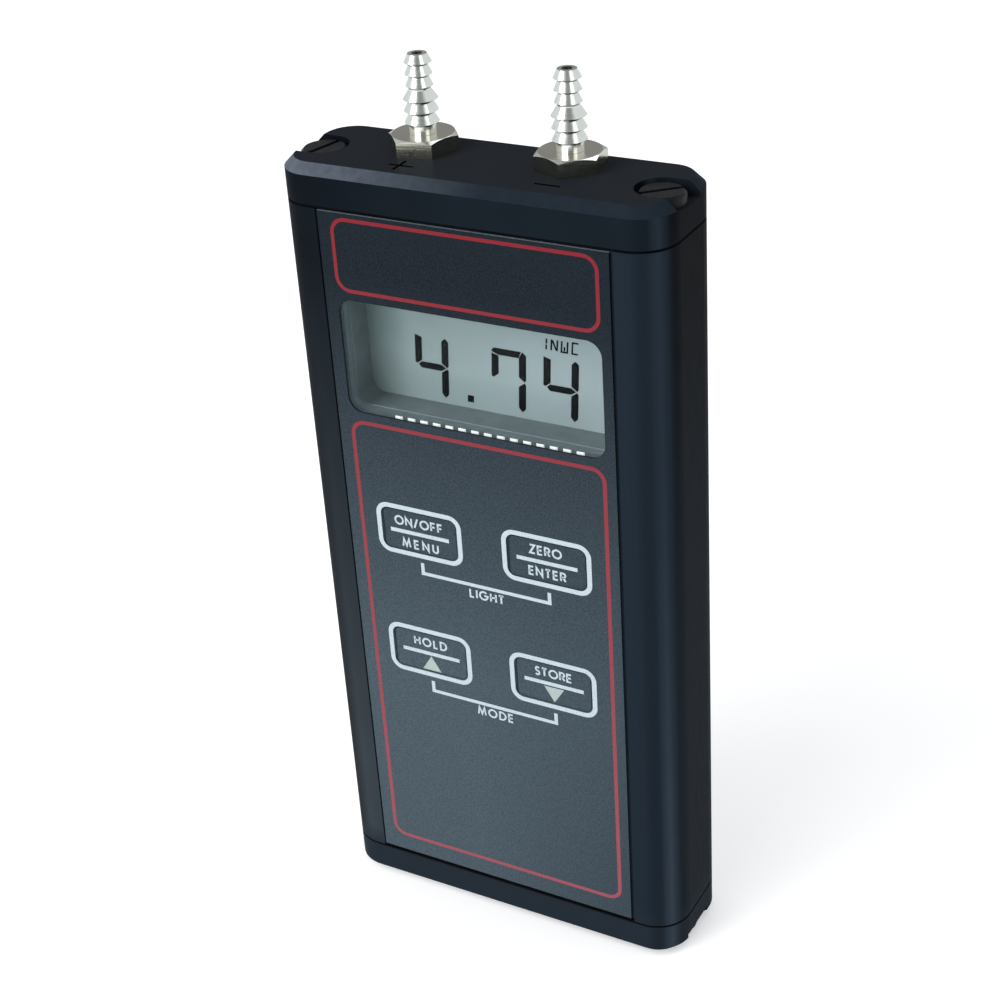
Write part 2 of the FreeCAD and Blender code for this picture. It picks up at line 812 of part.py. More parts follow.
def display_holder():
    """A moulded tray for the glass, with a light well that reaches the board."""
    body = new_body("display_holder")
    centre = (tray_low + tray_high) / 2
    outer = sketch_on(body, "XZ_Plane", y=centre, away=-tray_back)
    rectangle(outer, tray_width, tray_high - tray_low)
    pad(body, outer, tray_back - tray_front)

    well = sketch_on(body, "XZ_Plane", y=well_centre, away=-tray_front)
    rounded_rectangle(
        well,
        well_width + size.well_wall * 2,
        well_height + size.well_wall * 2,
        size.well_radius + size.well_wall,
    )
    pad(body, well, tray_front - board_back)
    for height in peg_heights:
        pegs = sketch_on(body, "XZ_Plane", y=height, away=-tray_front)
        circle_pair(pegs, size.tray_peg_radius, peg_spread)
        pad(body, pegs, tray_front - board_front - size.fit_clearance)

    # The seat for the glass is open at the bottom, where the pins leave
    seat_high = glass_high + size.fit_clearance * 2
    seat = sketch_on(body, "XZ_Plane", y=(tray_low + seat_high) / 2, away=-tray_back)
    rectangle(seat, glass_width + size.fit_clearance * 4, seat_high - tray_low)
    pocket(body, seat, tray_back - glass_front, other_way=True)

    opening = sketch_on(body, "XZ_Plane", y=well_centre, away=-board_back)
    rounded_rectangle(opening, well_width, well_height, size.well_radius)
    pocket(body, opening, tray_back - board_back)

    notch_high = well_low - size.well_wall
    notch_width = size.pin_pitch * (size.pin_count - 1) + size.pin_width + size.pin_notch_margin * 2
    notch = sketch_on(
        body,
        "XZ_Plane",
        x=size.pin_row_shift,
        y=(tray_low + notch_high) / 2,
        away=-board_back,
    )
    rectangle(notch, notch_width, notch_high - tray_low)
    pocket(body, notch, tray_back - board_back)


def display_glass():
    """Two glass plates; the back one stands out below as the contact ledge."""
    half = glass_width / 2
    pack = block(
        "glass_pack",
        (-half, glass_front, glass_low),
        (half, glass_back, glass_high),
    )
    ledge = block(
        "glass_ledge",
        (-half - 1, glass_front - 1, glass_low - 1),
        (half + 1, glass_front + size.glass_plate, glass_low + size.glass_ledge),
    )
    keep(cut("display_glass", pack, [ledge]), "display_glass")


def backlight():
    half = glass_width / 2 - size.backlight_margin
    low = glass_low + size.backlight_margin
    high = glass_high - size.backlight_margin
    panel = block("backlight", (-half, glass_back, low), (half, tray_back, high))
    keep(panel, "backlight")


def display_pins():
    """Tinned pins from the glass ledge to their solder pads on the board's face."""
    row = pin_row_height.number
    half_width = size.pin_width.number / 2
    half_thickness = size.pin_thickness.number / 2
    ledge_face = glass_front.number + size.glass_plate.number
    foot_front = ledge_face - size.pin_thickness.number
    foot_low = glass_low.number + size.pin_thickness.number
    pad_back = board_front.number
    pad_front = pad_back - size.pin_pad_thickness.number
    pad_half_width = size.pin_pad_width.number / 2
    pad_half_height = size.pin_pad_height.number / 2

    def box(x, low_y, high_y, low_z, high_z, half):
        return Part.makeBox(
            half * 2, high_y - low_y, high_z - low_z, Vector(x - half, low_y, low_z)
        )

    pins = []
    for position in pin_positions():
        x = position.number
        leg = box(x, pad_back, ledge_face, row - half_thickness, row + half_thickness, half_width)
        foot = box(x, foot_front, ledge_face, foot_low, row, half_width)
        solder = box(
            x, pad_front, pad_back, row - pad_half_height, row + pad_half_height, pad_half_width
        )
        solder = solder.makeChamfer(
            size.pin_pad_thickness.number / 2,
            [edge for edge in solder.Edges if edge.BoundBox.YMax < pad_front + 1e-6],
        )
        pins.append(leg.fuse([foot, solder]).removeSplitter())
    group = doc.addObject("Part::Feature", "display_pins")
    group.Shape = Part.makeCompound(pins)
    keep(group, "display_pins")


# Key switches under the film

def key_switch(name, side, centre):
    """A low switch on the board; its plunger moves towards the board."""
    x = key_spread / 2 * side
    half = size.switch_size / 2
    top = board_front - size.switch_height
    cover_back = top + size.switch_cover
    floor = board_front - size.switch_floor
    base = block(f"{name}_block", (x - half, top, centre - half), (x + half, board_front, centre + half))
    reach = size.plunger_flange_radius + size.running_clearance * 2
    room = block(
        f"{name}_room", (x - reach, cover_back, centre - reach), (x + reach, floor, centre + reach)
    )
    hole = rod(
        f"{name}_hole",
        size.plunger_radius + size.running_clearance,
        size.switch_cover + size.fit_clearance,
        x, top - size.fit_clearance / 2, centre,
        "y",
    )
    keep(cut(f"{name}_switch", base, [room, hole]), f"{name}_switch")

    flange_front = cover_back + size.running_clearance
    tip = film_back + size.fit_clearance
    stem = rod(
        f"{name}_stem",
        size.plunger_radius,
        flange_front - tip + size.plunger_flange_height / 2,
        x, tip, centre,
        "y",
    )
    flange = rod(
        f"{name}_flange",
        size.plunger_flange_radius,
        size.plunger_flange_height,
        x, flange_front, centre,
        "y",
    )
    keep(joined(f"{name}_plunger", [stem, flange]), f"{name}_plunger")
    room_left = floor.number - flange_front.number - size.plunger_flange_height.number
    if room_left < size.switch_travel.number:
        raise ValueError(f"{name}: the plunger has only {room_left:.3f} mm to move")


# Pressure fittings: one turned piece each, hexagon, two sizes of barb and a spigot

def port_profile():
    """Half section above the hexagon's base, from the bore out and back.

    Each barb widens downwards to a sharp edge and steps in flat below it.
    """
    inside = size.port_bore_radius / 2
    root = port_base + size.hexagon_height / 2
    edge = port_base + size.lowest_barb_edge
    points = [(inside, root), (size.port_stem_radius, root), (size.port_stem_radius, edge)]
    for step in range(3):
        if step:
            points.append((size.port_waist_radius, edge))
        points.append((size.large_barb_radius, edge))
        edge = edge + size.barb_pitch
    points.append((size.port_waist_radius, edge - size.barb_pitch + size.barb_shoulder))
    edge = port_base + size.lowest_small_barb_edge
    for step in range(3):
        points.append((size.port_waist_radius if step == 0 else size.port_neck_radius, edge))
        points.append((size.small_barb_radius, edge))
        edge = edge + size.barb_pitch
    tip = port_base + size.port_tip_height
    points.append((size.port_tip_radius, tip))
    points.append((inside, tip))
    return points


def port_fitting(name, side, turn):
    """Local origin: the middle of the spigot's lower end. Local +Z is up."""
    body = new_body(name)
    lower = sketch_on(body, "XY_Plane")
    circle(lower, size.port_spigot_radius)
    pad(body, lower, port_base)
    thread = sketch_on(body, "XY_Plane", away=size.port_spigot_length)
    circle(thread, size.port_thread_radius)
    pad(body, thread, port_thread_length)
    flats = sketch_on(body, "XY_Plane", away=port_base, turn=turn)
    hexagon(flats, size.hexagon_across_flats)
    pad(body, flats, size.hexagon_height)

    # Bevel that takes the hexagon's upper corners off
    flat = size.hexagon_across_flats / 2 - size.running_clearance
    corner = size.hexagon_bevel_reach
    top = port_base + size.hexagon_height
    bevel = sketch_on(body, "XZ_Plane")
    turned_profile(
        bevel,
        [
            (flat, top),
            (corner, top - size.hexagon_rim_drop),
            (corner, top + size.hexagon_rim_drop),
            (flat, top + size.hexagon_rim_drop),
        ],
    )
    revolve(body, bevel, cut=True)
    barbs = sketch_on(body, "XZ_Plane")
    turned_profile(barbs, port_profile())
    revolve(body, barbs)
    bore = sketch_on(body, "XY_Plane")
    circle(bore, size.port_bore_radius)
    pocket(body, bore)
    place(body, size.port_spread / 2 * side, size.port_back, size.case_height - port_base)


def port_seal(name, side):
    """A flat sealing washer, let into the cap under the hexagon."""
    x = size.port_spread / 2 * side
    low = size.case_height - size.port_seal_thickness
    washer = rod(
        f"{name}_disc", size.port_seal_radius, size.port_seal_thickness, x, size.port_back, low, "z"
    )
    hole = rod(
        f"{name}_hole",
        size.port_thread_radius + size.running_clearance,
        size.port_seal_thickness,
        x, size.port_back, low,
        "z",
    )
    keep(cut(name, washer, [hole]), name)


# Pressure sensor and its two silicone tubes

def pressure_sensor():
    half = size.sensor_width / 2
    shell = block(
        "sensor_shell",
        (-half, board_back, sensor_low),
        (half, sensor_back - size.sensor_lid, sensor_high),
    )
    lid = block(
        "sensor_lid",
        (-half + size.sensor_lid, sensor_back - size.sensor_lid, sensor_low + size.sensor_lid),
        (half - size.sensor_lid, sensor_back, sensor_high - size.sensor_lid),
    )
    posts = []
    bores = []
    root = sensor_high - size.sensor_lid
    for side, word in ((-1, "left"), (1, "right")):
        x = size.sensor_port_spread / 2 * side
        length = size.sensor_port_length + size.sensor_lid
        posts.append(
            rod(f"sensor_{word}_post", size.sensor_port_radius, length, x, tube_y, root, "z")
        )
        bores.append(
            rod(f"sensor_{word}_bore", size.sensor_port_bore, length * 2, x, tube_y, root, "z")
        )
    solid = joined("sensor_solid", [shell, lid] + posts)
    keep(cut("pressure_sensor", solid, bores), "pressure_sensor")


def bent_rod(points, radius):
    """A round rod along straight runs, with a mitred bend at each corner."""
    path = Part.makePolygon(points)
    ring = Part.Wire(Part.makeCircle(radius, points[0], points[1] - points[0]))
    solid = path.makePipeShell([ring], True, False, 1)
    wanted = math.pi * radius * radius * path.Length
    if abs(solid.Volume - wanted) > 0.01 * wanted:
        raise ValueError(f"rod volume {solid.Volume:.2f} is not {wanted:.2f}")
    return solid


def sensor_tube(name, side):
    """From a fitting's spigot, down behind the display, to the sensor's port."""
    spread = size.port_spread / 2
    port_x = size.sensor_port_spread / 2
    thread_end = size.case_height - port_thread_length
    route = [
        (spread, size.port_back, thread_end - size.tube_margin),
        (spread, size.port_back, thread_end - size.port_spigot_length - size.tube_bend_room),
        (spread - size.tube_sidestep, tube_y, tray_high + size.tube_bend_room),
        (port_x, tube_y, sensor_port_top + size.tube_bend_room),
        (port_x, tube_y, sensor_high + size.tube_margin),
    ]
    points = [Vector(x.number * side, y.number, z.number) for x, y, z in route]
    outside = bent_rod(points, size.tube_radius.number)
    tube = doc.addObject("Part::Feature", name)
    tube.Shape = outside.cut(bent_rod(points, size.tube_bore_radius.number))
    keep(tube, name)


# Battery, its snap and leads, and the foam that holds it down

battery_middle = battery_low + size.battery_height / 2
battery_y = cavity_centre
battery_start = size.battery_play - inner_width / 2
battery_end = battery_start + size.battery_length
studs = (
    (size.battery_small_stud, battery_middle + size.battery_stud_spread / 2),
    (size.battery_large_stud, battery_middle - size.battery_stud_spread / 2),
)


def battery():
    body = new_body("battery")
    side = sketch_on(body, "YZ_Plane", x=battery_y, y=battery_middle, away=battery_start)
    rounded_rectangle(
        side, size.battery_thickness, size.battery_height, size.battery_edge_radius
    )
    pad(body, side, size.battery_length)
    for radius, height in studs:
        stud = sketch_on(body, "YZ_Plane", x=battery_y, y=height, away=battery_end)
        circle(stud, radius)
        pad(body, stud, size.battery_stud_length)


def battery_snap():
    body = new_body("battery_snap")
    near = battery_end + size.fit_clearance
    side = sketch_on(body, "YZ_Plane", x=battery_y, y=battery_middle, away=near)
    rounded_rectangle(side, size.snap_width, size.snap_length, size.battery_edge_radius)
    pad(body, side, size.snap_thickness)
    for radius, height in studs:
        socket = sketch_on(body, "YZ_Plane", x=battery_y, y=height, away=near)
        circle(socket, radius + size.fit_clearance)
        pocket(body, socket, size.battery_stud_length, other_way=True)


def battery_lead(name, side):
    """A wire from the top of the snap to the back of the board."""
    x = battery_end + size.snap_thickness / 2 + size.fit_clearance
    y = battery_y + size.lead_spread / 2 * side
    start = battery_middle + size.snap_length / 2
    landing = board_low + size.lead_reach
    end_x = x - size.lead_spread / 2 * (side + 1)
    route = [
        (x, y, start),
        (x, y, start + size.lead_rise),
        (end_x, board_back + size.lead_stand_off, landing),
        (end_x, board_back, landing),
    ]
    points = [Vector(*(length.number for length in point)) for point in route]
    wire = doc.addObject("Part::Feature", name)
    wire.Shape = bent_rod(points, size.lead_radius.number)
    keep(wire, name)


def battery_foam():
    half_depth = size.battery_thickness / 2
    foam = block(
        "battery_foam",
        (battery_start + size.foam_inset, battery_y - half_depth, battery_high + size.fit_clearance),
        (battery_end - size.foam_inset, battery_y + half_depth, board_low - size.fit_clearance * 3),
    )
    keep(foam, "battery_foam")


# Components on the back of the board

def board_component(name, x, low, width, height, thickness):
    """A flat package; low is its lower edge, measured from the board's."""
    bottom = board_low + low
    component = block(
        name,
        (x - width / 2, board_back, bottom),
        (x + width / 2, board_back + thickness, bottom + height),
    )
    keep(component, name)


def filter_capacitors():
    cans = []
    side_gap = size.sensor_width / 2 + size.component_edge
    lowest = board_low + size.lead_reach * 2 + size.capacitor_radius
    for step in range(3):
        cans.append(
            rod(
                f"capacitor_{step + 1}",
                size.capacitor_radius,
                size.capacitor_height,
                side_gap + size.capacitor_radius,
                board_back,
                lowest + size.capacitor_pitch * step,
                "y",
            )
        )
    group = doc.addObject("Part::Compound", "filter_capacitors")
    group.Links = cans
    keep(group, "filter_capacitors")


case_body()
end_cap("top_cap", size.case_height - size.cap_height, True, True)
end_cap("bottom_cap", size.cap_height, False, False)
gasket("top_gasket", body_high)
gasket("bottom_gasket", size.cap_height)
front_film()
display_window()
circuit_board()
display_holder()
display_glass()
backlight()
display_pins()
for key_name, (key_side, key_centre) in KEYS.items():
    key_switch(key_name, key_side, key_centre)
port_fitting("high_pressure_port", -1, 42.4)
port_fitting("low_pressure_port", 1, 8.3)
for port_side, port_word in ((-1, "high"), (1, "low")):
    port_seal(f"{port_word}_pressure_seal", port_side)
    sensor_tube(f"{port_word}_pressure_tube", port_side)
pressure_sensor()
battery()
battery_snap()
battery_lead("red_battery_lead", 1)
battery_lead("black_battery_lead", -1)
battery_foam()
chip_x = size.chip_inset + size.chip_size / 2 - board_width / 2
board_component(
    "processor_chip",
    chip_x,
    size.component_edge * 2 + size.crystal_height,
    size.chip_size, size.chip_size, size.chip_thickness,
)
board_component(
    "amplifier_chip",
    ZERO,
    size.component_edge,
    size.amplifier_width, size.amplifier_height, size.amplifier_thickness,
)
board_component(
    "clock_crystal",
    chip_x,
    size.component_edge,
    size.crystal_width, size.crystal_height, size.crystal_thickness,
)
filter_capacitors()
SLOT_TURNS = {("top", -1): 77.0, ("top", 1): 41.0, ("bottom", -1): 20.0, ("bottom", 1): 110.0}
for (end_word, screw_side), slot_angle in SLOT_TURNS.items():
    side_word = "left" if screw_side < 0 else "right"
    end_screw(f"{end_word}_{side_word}_screw", screw_side, end_word == "top", slot_angle)

doc.recompute()
for item in doc.Objects:
    if "Invalid" in item.State or "Error" in item.State:
        raise ValueError(f"{item.Name} failed: {item.State}")
for piece in pieces:
    if piece.Shape.isNull() or not piece.Shape.isValid():
        raise ValueError(f"{piece.Label} has no valid shape")

os.makedirs("parts", exist_ok=True)
for piece in pieces:
    piece.Shape.exportStep(os.path.join("parts", f"{piece.Label}.step"))
    box = piece.Shape.BoundBox
    print(
        f"{piece.Label}: {len(piece.Shape.Solids)} solid, {piece.Shape.Volume:.1f} mm3, "
        f"z {box.ZMin:.2f} to {box.ZMax:.2f}"
    )
print(f"{len(pieces)} pieces")
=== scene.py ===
"""Handheld digital manometer: materials, film print, display figures, stage and camera."""

import math

import bmesh
import bpy
from mathutils import Matrix, Vector


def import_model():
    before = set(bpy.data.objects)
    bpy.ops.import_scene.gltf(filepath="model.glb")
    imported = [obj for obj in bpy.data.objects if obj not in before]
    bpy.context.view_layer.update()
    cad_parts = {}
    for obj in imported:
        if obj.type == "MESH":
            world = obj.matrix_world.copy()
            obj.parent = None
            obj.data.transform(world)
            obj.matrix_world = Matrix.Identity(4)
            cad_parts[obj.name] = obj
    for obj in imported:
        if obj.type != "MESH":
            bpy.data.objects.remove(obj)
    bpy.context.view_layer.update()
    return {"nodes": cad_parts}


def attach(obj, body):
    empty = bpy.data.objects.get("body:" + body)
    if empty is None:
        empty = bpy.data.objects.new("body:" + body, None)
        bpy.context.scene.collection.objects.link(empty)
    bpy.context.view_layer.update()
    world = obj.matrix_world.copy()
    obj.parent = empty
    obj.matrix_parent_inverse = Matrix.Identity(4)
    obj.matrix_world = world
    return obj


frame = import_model()
MM = 0.001

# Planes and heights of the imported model, in millimetres
FILM_FACE = -11.5
KEY_FLOOR = -11.3
GLASS_FACE = -1.8
CAP_TOP = 156.2
PROUD = 0.02

# Heights of the barbs' lower edges above the cap
BARB_EDGES = (5.0, 7.05, 9.1, 11.4, 13.45, 15.5)

# Dark, matt surfaces shine less than plastic's usual level of 0.5
BLACK_GLOSS = 0.01
FILM_GLOSS = 0.05

# Painted glow of the board's edge and the pads: emission that stands in for the light the clear plate
# carries there
PAINTED_GLOW = 0.6

# The display well's walls are painted brighter in front of this plane, a painted highlight on their rim
LIT_RIM_FACE = -7.0

# How far below a barb's edge the middle of its painted shade lies
UNDERCUT_SHADE_MIDDLE = 0.25


# Shader building

class Shader:
    """A procedural material; its noise and gradients use the row frame's metres."""

    def __init__(self, name, color, roughness, **settings):
        self.material = bpy.data.materials.new(name)
        self.material.use_nodes = True
        self.tree = self.material.node_tree
        self.bsdf = self.tree.nodes["Principled BSDF"]
        self.place = self.node("ShaderNodeTexCoord").outputs["Object"]
        self.set("Base Color", (*color, 1.0))
        self.set("Roughness", roughness)
        for socket, value in settings.items():
            self.set(socket.replace("_", " "), value)

    def node(self, kind, **properties):
        node = self.tree.nodes.new(kind)
        for name, value in properties.items():
            setattr(node, name, value)
        return node

    def feed(self, socket, value):
        """Set a socket, or link it where the value is another node's output."""
        if isinstance(value, bpy.types.NodeSocket):
            self.tree.links.new(value, socket)
        else:
            socket.default_value = value

    def set(self, name, value):
        self.feed(self.bsdf.inputs[name], value)

    def noise(self, size, detail=2.0, stretch=(1, 1, 1), roughness=0.5):
        """Noise whose features are about size millimetres, stretched along each axis."""
        scaling = self.node("ShaderNodeMapping")
        self.feed(scaling.inputs["Vector"], self.place)
        scaling.inputs["Scale"].default_value = [1 / (size * MM * axis) for axis in stretch]
        texture = self.node("ShaderNodeTexNoise")
        self.feed(texture.inputs["Vector"], scaling.outputs["Vector"])
        texture.inputs["Scale"].default_value = 1.0
        texture.inputs["Detail"].default_value = detail
        texture.inputs["Roughness"].default_value = roughness
        return texture.outputs["Fac"]

    def axis(self, name):
        split = self.node("ShaderNodeSeparateXYZ")
        self.feed(split.inputs["Vector"], self.place)
        return split.outputs[name]

    def facing(self, name):
        """How far the surface faces along one axis of the object."""
        split = self.node("ShaderNodeSeparateXYZ")
        coordinates = self.node("ShaderNodeTexCoord")
        self.feed(split.inputs["Vector"], coordinates.outputs["Normal"])
        return split.outputs[name]

    def math(self, operation, first, second=0.0):
        node = self.node("ShaderNodeMath", operation=operation)
        self.feed(node.inputs[0], first)
        self.feed(node.inputs[1], second)
        return node.outputs["Value"]

    def span(self, value, low, high, start=0.0, end=1.0):
        """Map low..high to start..end, clamped."""
        node = self.node("ShaderNodeMapRange")
        self.feed(node.inputs["Value"], value)
        for socket, number in zip(("From Min", "From Max", "To Min", "To Max"), (low, high, start, end)):
            node.inputs[socket].default_value = number
        return node.outputs["Result"]

    def along(self, name, low, high, start=0.0, end=1.0):
        """Map a run along one axis, given in millimetres, to start..end."""
        return self.span(self.axis(name), low * MM, high * MM, start, end)

    def hump(self, value, low, full, fading, high, share=1.0):
        """Rise to a share between low and full, and fall again between fading and high."""
        rising = self.span(value, low, full, 0.0, share)
        falling = self.span(value, fading, high, 1.0, 0.0)
        return self.math("MULTIPLY", rising, falling)

    def mix(self, share, first, second):
        node = self.node("ShaderNodeMix", data_type="RGBA")
        self.feed(node.inputs["Factor"], share)
        colors = [socket for socket in node.inputs if socket.type == "RGBA"]
        for socket, color in zip(colors, (first, second)):
            self.feed(socket, color if isinstance(color, bpy.types.NodeSocket) else (*color, 1.0))
        return next(socket for socket in node.outputs if socket.type == "RGBA")

    def bump(self, height, depth, strength=1.0):
        """Bump whose height is given in millimetres."""
        node = self.node("ShaderNodeBump")
        self.feed(node.inputs["Height"], height)
        node.inputs["Distance"].default_value = depth * MM
        node.inputs["Strength"].default_value = strength
        self.set("Normal", node.outputs["Normal"])


def rgb(code):
    """A linear colour from a hex code."""
    values = [int(code[index:index + 2], 16) / 255 for index in (0, 2, 4)]
    return tuple(
        value / 12.92 if value <= 0.04045 else ((value + 0.055) / 1.055) ** 2.4 for value in values
    )


def painted_corner_reflections(shader, tone, sideways):
    """Painted reflections: a dark and a pale band down the round corner that faces right, the pale one paler
    downwards.
    """
    pale = shader.mix(shader.along("Z", 110, 20), rgb("29333d"), rgb("3b4651"))
    for low, high, share, reflection_tone in ((0.15, 0.6, 0.3, rgb("0f141a")), (0.55, 0.92, 0.7, pale)):
        banded = shader.hump(sideways, low, low + 0.2, high - 0.15, high, share)
        tone = shader.mix(banded, tone, reflection_tone)
    return tone


def painted_bevel_and_top_light(shader, color, bevel_highlight_codes, face_code):
    """Painted light on a cap: its flat faces painted paler as lit from above, and a painted highlight on the
    mottled bevel that fades along it.
    """
    slope = shader.math("ABSOLUTE", shader.facing("Z"))
    # Painted light from above: the cap's flat faces are paler
    color = shader.mix(shader.span(slope, 0.8, 0.95), color, rgb("202328"))
    mottle = shader.span(shader.noise(1.4, 4.0), 0.35, 0.7, 0.0, 0.25)
    # Painted highlight: the bevel is paler at its left end
    bevel = shader.mix(shader.along("X", -37, 4), rgb(bevel_highlight_codes[0]), rgb(bevel_highlight_codes[1]))
    bevel = shader.mix(mottle, bevel, rgb(face_code))
    return shader.mix(shader.hump(slope, 0.35, 0.55, 0.8, 0.95), color, bevel)


def anodised(name, front_codes, side_codes, grain, bevel_highlight_codes=None):
    """Black anodised aluminium, with a fine grain and a faint change of tone.

    Its changes of tone by place and facing are painted light. As painted sheen, the front gets
    paler from its left end to its right one, and at its left end from the top down. The right
    side, painted as a lit copy of the front, gets paler downwards too, and the lowest few
    millimetres are painted paler by light from the floor. Round corners get painted reflection
    bands. A milled bevel has a painted highlight, paler than the faces, most of all at its left end.
    """
    shader = Shader(name, rgb(front_codes[1]), 0.5, Specular_IOR_Level=BLACK_GLOSS)
    sideways = shader.facing("X")
    # Painted sheen on the front: paler to the right, and at its left end towards the bottom
    forward = shader.span(sideways, -0.62, -0.18, 0.05, 1.0)
    lower_left = shader.math("MULTIPLY", shader.along("Z", 140, 30), forward)
    left = shader.mix(lower_left, rgb(front_codes[0]), rgb("363d42"))
    front = shader.mix(shader.along("X", -37, 0), left, rgb(front_codes[1]))
    # Painted light on the right side: a lit copy of the front, paler downwards
    side = shader.mix(shader.along("Z", 155, 70), rgb(side_codes[0]), rgb(side_codes[1]))
    tone = shader.mix(shader.span(sideways, 0.88, 0.97), front, side)
    # Painted light from the floor: paler over the lowest few millimetres
    tone = shader.mix(shader.along("Z", 12, 7), tone, rgb("20272f"))
    tone = painted_corner_reflections(shader, tone, sideways)
    cloud = shader.span(shader.noise(9.0, 3.0), 0.35, 0.7, 0.0, 0.15)
    color = shader.mix(cloud, tone, rgb("1c242c"))
    if bevel_highlight_codes:
        color = painted_bevel_and_top_light(shader, color, bevel_highlight_codes, front_codes[1])
    fine = shader.noise(0.25, 2.0, stretch=grain)
    shader.set("Base Color", color)
    shader.set("Roughness", shader.span(fine, 0.3, 0.7, 0.42, 0.6))
    shader.bump(fine, 0.012, 0.5)
    return shader.material


def printed_film():
    """Dark textured film; a painted sheen makes it paler towards the bottom."""
    shader = Shader("film_surface", rgb("232b33"), 0.5, Specular_IOR_Level=FILM_GLOSS)
    grain = shader.noise(0.33, 3.0, roughness=0.75)
    # Painted sheen: paler towards the bottom
    fade = shader.along("Z", 137, 55)
    tone = shader.mix(fade, rgb("0d1319"), rgb("36424a"))
    light = shader.mix(fade, rgb("1d262e"), rgb("4e5b63"))
    speckled = shader.mix(shader.span(grain, 0.36, 0.68), tone, light)
    # Painted shade: the lower right keeps less of the painted sheen
    low = shader.along("Z", 90, 15, 0.3, 1.0)
    corner = shader.math("MULTIPLY", low, shader.along("X", -5, 30, 0.0, 0.5))
    speckled = shader.mix(corner, speckled, rgb("1d262e"))
    # Painted highlight along the film's top cut edge, which faces up
    upward = shader.span(shader.facing("Z"), 0.7, 0.9)
    edge = shader.math("MULTIPLY", upward, shader.along("Z", 147, 148))
    shader.set("Base Color", shader.mix(edge, speckled, rgb("7d8890")))
    shader.set("Roughness", shader.span(grain, 0.3, 0.7, 0.42, 0.6))
    shader.bump(grain, 0.03, 0.6)
    return shader.material


def ink_and_painted_shade(name, code, worn_code, roughness=0.5):
    """Printed ink, worn in fine specks; it also makes the painted shadow lines in the key recesses."""
    shader = Shader(name, rgb(code), roughness, Specular_IOR_Level=FILM_GLOSS)
    wear = shader.span(shader.noise(0.35, 3.0, roughness=0.7), 0.45, 0.8)
    shader.set("Base Color", shader.mix(wear, rgb(code), rgb(worn_code)))
    shader.bump(shader.noise(0.32, 2.0, roughness=0.7), 0.02, 0.5)
    return shader.material


def red_ink():
    """Red print with the film's painted sheen: it gets paler towards the bottom, as the film does."""
    shader = Shader("red_ink", rgb("a8323a"), 0.5, Specular_IOR_Level=FILM_GLOSS)
    # Painted sheen: paler towards the bottom
    fade = shader.along("Z", 150, 10)
    base = shader.mix(fade, rgb("77222a"), rgb("8f4d56"))
    wear = shader.span(shader.noise(0.35, 3.0, roughness=0.7), 0.5, 0.85, 0.0, 0.5)
    shader.set("Base Color", shader.mix(wear, base, rgb("7c2a33")))
    shader.bump(shader.noise(0.32, 2.0, roughness=0.7), 0.02, 0.5)
    return shader.material


def display_face():
    """Liquid crystal glass: grey-green, with its light falling off to one side."""
    shader = Shader("display_face", rgb("8fa9a8"), 0.25)
    across = shader.along("X", -25, 25)
    # Painted shade: darker towards the top
    down = shader.along("Z", 132, 110)
    left = shader.mix(down, rgb("6b8182"), rgb("899c9d"))
    right = shader.mix(down, rgb("90a5a8"), rgb("a1b1b4"))
    base = shader.mix(across, left, right)
    # Painted highlight at the right edge
    base = shader.mix(shader.along("X", 21.5, 26.2), base, rgb("bac8cd"))
    cloud = shader.span(shader.noise(6.0, 3.0), 0.4, 0.7, 0.0, 0.25)
    shader.set("Base Color", shader.mix(cloud, base, rgb("8fa2a4")))
    return shader.material


def clear_window():
    """Clear plate: seen through, with only its gloss showing, more of it from aside."""
    shader = Shader("window_clear", (0.02, 0.03, 0.03), 0.04, IOR=1.45)
    aside = shader.node("ShaderNodeLayerWeight")
    aside.inputs["Blend"].default_value = 0.5
    rising = shader.math("POWER", aside.outputs["Facing"], 5.0)
    gloss = shader.span(rising, 0.0, 1.0, 0.035, 1.0)
    smear = shader.span(shader.noise(7.0, 4.0), 0.45, 0.8, 0.0, 0.03)
    flat = shader.math("ABSOLUTE", shader.facing("Y"))
    shader.set("Alpha", shader.math("MULTIPLY", shader.math("ADD", gloss, smear), flat))
    return shader.material


def plated(name, barb_code, flat_code, side_code, undercut_shade_code):
    """Bright nickel plate with turning marks.

    The hexagon's top and sides are painted darker than its bevel, as shade, and the necks
    under the barbs are in painted shade.
    """
    shader = Shader(name, rgb(barb_code), 0.2, Metallic=1.0)
    height = shader.axis("Z")
    rings = shader.noise(0.22, 2.0, stretch=(40, 40, 1))
    stain = shader.span(shader.noise(1.6, 4.0), 0.4, 0.75, 0.0, 0.25)
    slope = shader.math("ABSOLUTE", shader.facing("Z"))
    # Painted shade: the hexagon's sides and top are darker than its bevel
    sides = shader.mix(shader.span(slope, 0.1, 0.25), rgb(side_code), rgb(barb_code))
    hexagon = shader.mix(shader.span(slope, 0.96, 0.99), sides, rgb(flat_code))
    above = shader.along("Z", CAP_TOP + 3.0, CAP_TOP + 3.1)
    tone = shader.mix(above, hexagon, rgb(barb_code))
    # Painted shade under each barb's edge
    for edge in BARB_EDGES:
        middle = (CAP_TOP + edge - UNDERCUT_SHADE_MIDDLE) * MM
        away = shader.math("ABSOLUTE", shader.math("SUBTRACT", height, middle))
        shade = shader.span(away, 0.18 * MM, 0.3 * MM, 0.85, 0.0)
        tone = shader.mix(shade, tone, rgb(undercut_shade_code))
    shader.set("Base Color", shader.mix(stain, tone, rgb(flat_code)))
    shader.set("Roughness", shader.span(rings, 0.3, 0.7, 0.14, 0.24))
    shader.bump(rings, 0.01, 0.5)
    return shader.material


